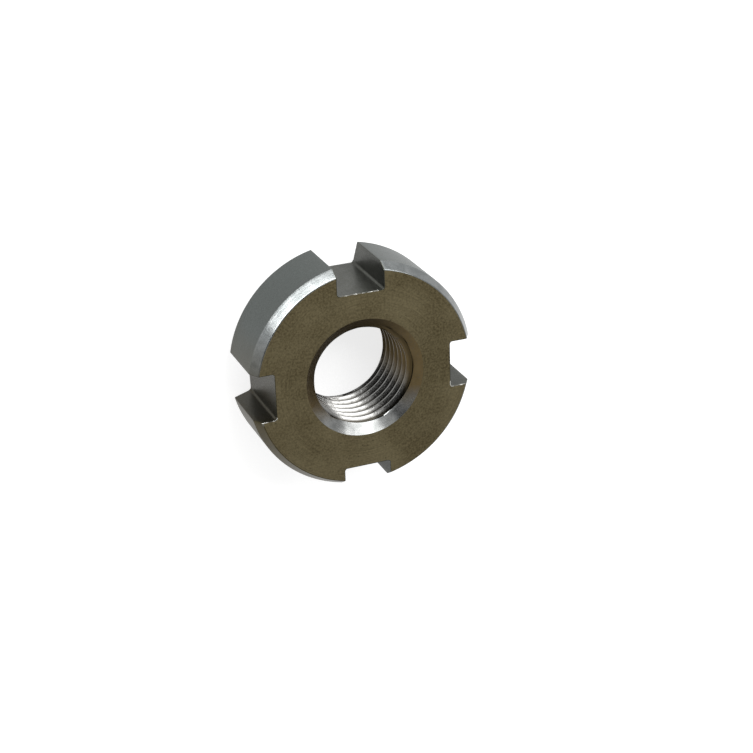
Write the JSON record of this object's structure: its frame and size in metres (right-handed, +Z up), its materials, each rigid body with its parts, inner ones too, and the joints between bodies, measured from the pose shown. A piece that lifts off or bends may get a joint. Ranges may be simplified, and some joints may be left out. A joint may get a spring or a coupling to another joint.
{
  "type": "slotted round nut",
  "caption": "Round steel nut, also called a castle nut: square slots across the rim for a hook spanner, a fine right-hand thread, countersunk mouths and a chamfered bearing side.",
  "frame": {"origin": "on the thread's axis, at the underside that seats on the joint", "axes": "+Z up along the thread's axis, away from the joint; +X and +Y each point to a slot"},
  "size_m": [0.0216, 0.0216, 0.008],
  "materials": {
    "bare_steel": "bare turned steel with a dull oiled film, bright at the cut edges"
  },
  "bodies": {
    "root": {"slotted_nut": "bare_steel"}
  },
  "joints": []
}
